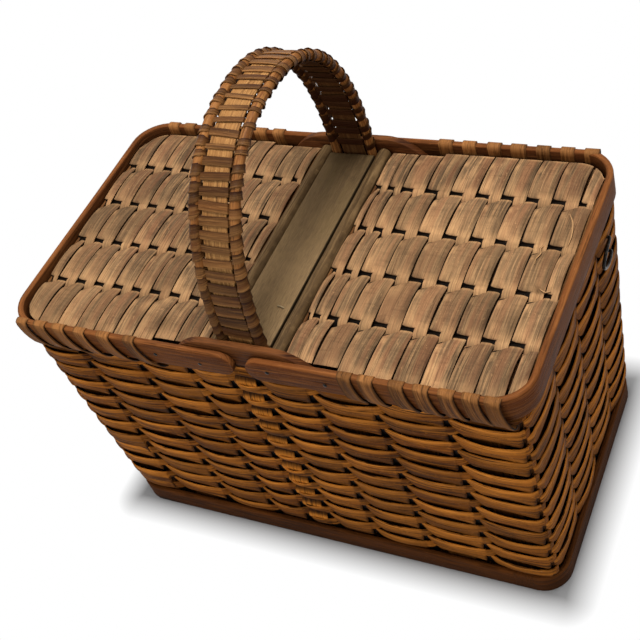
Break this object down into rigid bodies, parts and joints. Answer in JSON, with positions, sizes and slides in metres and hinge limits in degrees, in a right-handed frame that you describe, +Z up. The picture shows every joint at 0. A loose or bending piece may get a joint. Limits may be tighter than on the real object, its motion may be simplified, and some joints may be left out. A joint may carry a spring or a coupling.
{
  "type": "splint picnic basket",
  "caption": "Tapering splint-woven picnic basket with an arched wrapped handle and two woven lids that swing up on rods either side of a fixed centre board.",
  "frame": {"origin": "middle of the underside of the base hoop, on the surface the basket stands on", "axes": "+X along the basket towards the end wall with the wire catch, +Y from the front wall to the back wall, +Z up"},
  "size_m": [0.46, 0.2614, 0.4374],
  "materials": {
    "weave": "aged oiled splint, satin",
    "hoop": "aged oiled wood, satin",
    "lashing": "aged oiled splint, satin",
    "ear": "aged oiled wood, satin",
    "board": "weathered board, dull",
    "handle_rod": "aged oiled wood, satin",
    "handle_splint": "aged bare splint, dull",
    "handle_weaver": "aged oiled splint, satin",
    "lid_rod": "aged wood, dull",
    "lid_frame": "aged splint, dull",
    "lid_splint": "weathered splint, dull",
    "wire": "blackened iron wire, satin"
  },
  "bodies": {
    "basket": {"base_hoop": "hoop", "woven_floor": "weave", "wall_front": "weave", "wall_back": "weave", "wall_right": "weave", "wall_left": "weave", "rim_hoop_inner": "hoop", "rim_hoop_right": "hoop", "rim_hoop_left": "hoop", "lashing_front_right": "lashing", "lashing_front_left": "lashing", "lashing_back_left": "lashing", "lashing_back_right": "lashing", "ear_board_front": "ear", "ear_board_back": "ear", "centre_board": "board", "handle_rod_left": "handle_rod", "handle_rod_right": "handle_rod", "handle_splint": "handle_splint", "handle_weaver": "handle_weaver", "wire_catch": "wire"},
    "lid_left": {"lid_left_rod": "lid_rod", "lid_left_frame": "lid_frame", "lid_left_splint_01": "lid_splint", "lid_left_splint_02": "lid_splint", "lid_left_splint_03": "lid_splint", "lid_left_splint_04": "lid_splint", "lid_left_splint_05": "lid_splint", "lid_left_splint_06": "lid_splint", "lid_left_splint_07": "lid_splint", "lid_left_splint_08": "lid_splint", "lid_left_splint_09": "lid_splint", "lid_left_splint_10": "lid_splint", "lid_left_splint_11": "lid_splint", "lid_left_splint_12": "lid_splint", "lid_left_splint_13": "lid_splint", "lid_left_splint_14": "lid_splint", "lid_left_splint_15": "lid_splint", "lid_left_splint_16": "lid_splint", "lid_left_splint_17": "lid_splint"},
    "lid_right": {"lid_right_rod": "lid_rod", "lid_right_frame": "lid_frame", "lid_right_splint_01": "lid_splint", "lid_right_splint_02": "lid_splint", "lid_right_splint_03": "lid_splint", "lid_right_splint_04": "lid_splint", "lid_right_splint_05": "lid_splint", "lid_right_splint_06": "lid_splint", "lid_right_splint_07": "lid_splint", "lid_right_splint_08": "lid_splint", "lid_right_splint_09": "lid_splint", "lid_right_splint_10": "lid_splint", "lid_right_splint_11": "lid_splint", "lid_right_splint_12": "lid_splint", "lid_right_splint_13": "lid_splint", "lid_right_splint_14": "lid_splint", "lid_right_splint_15": "lid_splint", "lid_right_splint_16": "lid_splint", "lid_right_splint_17": "lid_splint"}
  },
  "joints": [
    {"name": "lid_left_hinge", "type": "hinge", "parent": "basket", "child": "lid_left", "pos_m": [-0.02775, 0, 0.274], "axis": [0, 1, 0], "range_deg": [0, 90]},
    {"name": "lid_right_hinge", "type": "hinge", "parent": "basket", "child": "lid_right", "pos_m": [0.02775, 0, 0.274], "axis": [0, -1, 0], "range_deg": [0, 90]}
  ]
}
